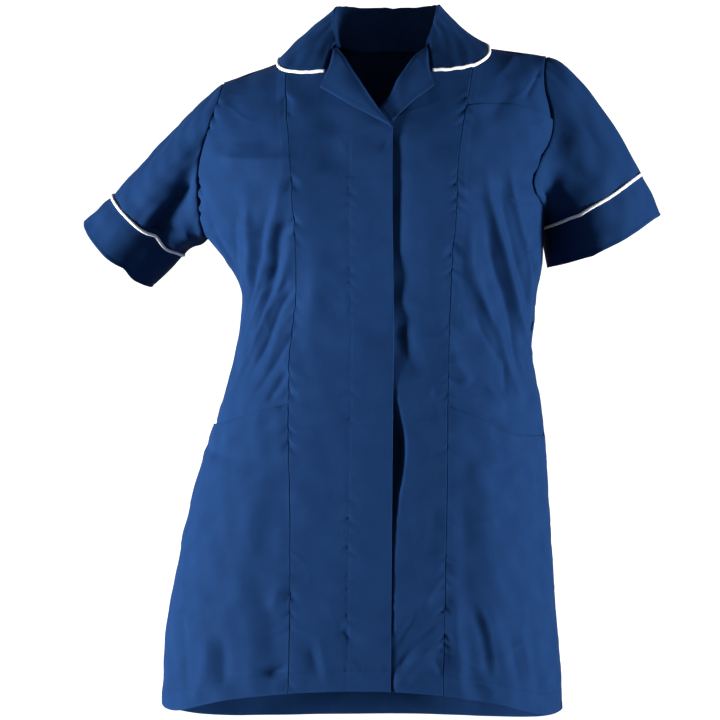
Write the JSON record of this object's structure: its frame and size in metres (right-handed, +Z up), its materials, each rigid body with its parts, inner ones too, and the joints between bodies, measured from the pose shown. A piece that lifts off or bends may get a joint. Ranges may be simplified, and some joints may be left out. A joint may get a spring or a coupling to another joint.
{
  "type": "worn short-sleeved medical tunic",
  "caption": "Women's short-sleeved medical tunic in worn form: fly front, revers collar, panel seams, patch pockets, white piping on collar and cuffs, open neck, sleeves and hem.",
  "frame": {"origin": "midway between the two points where the shoulder seams meet the neck, where the wearer's shoulders hold the tunic", "axes": "+X to the wearer's left, -Y to the front, +Z up"},
  "size_m": [0.6434, 0.2792, 0.8025],
  "materials": {
    "navy_cloth": "plain-weave polyester-cotton, dull with a slight sheen",
    "white_piping": "smooth woven bias piping"
  },
  "bodies": {
    "root": {"front_right": "navy_cloth", "front_left": "navy_cloth", "side_front_right": "navy_cloth", "side_front_left": "navy_cloth", "hip_pocket_right": "navy_cloth", "hip_pocket_left": "navy_cloth", "chest_pocket_back": "navy_cloth", "back": "navy_cloth", "sleeve_right": "navy_cloth", "sleeve_left": "navy_cloth", "cuff_right": "navy_cloth", "cuff_left": "navy_cloth", "cuff_piping_right": "white_piping", "cuff_piping_left": "white_piping", "lapel_right": "navy_cloth", "lapel_left": "navy_cloth", "collar": "navy_cloth", "collar_piping": "white_piping"}
  },
  "joints": []
}
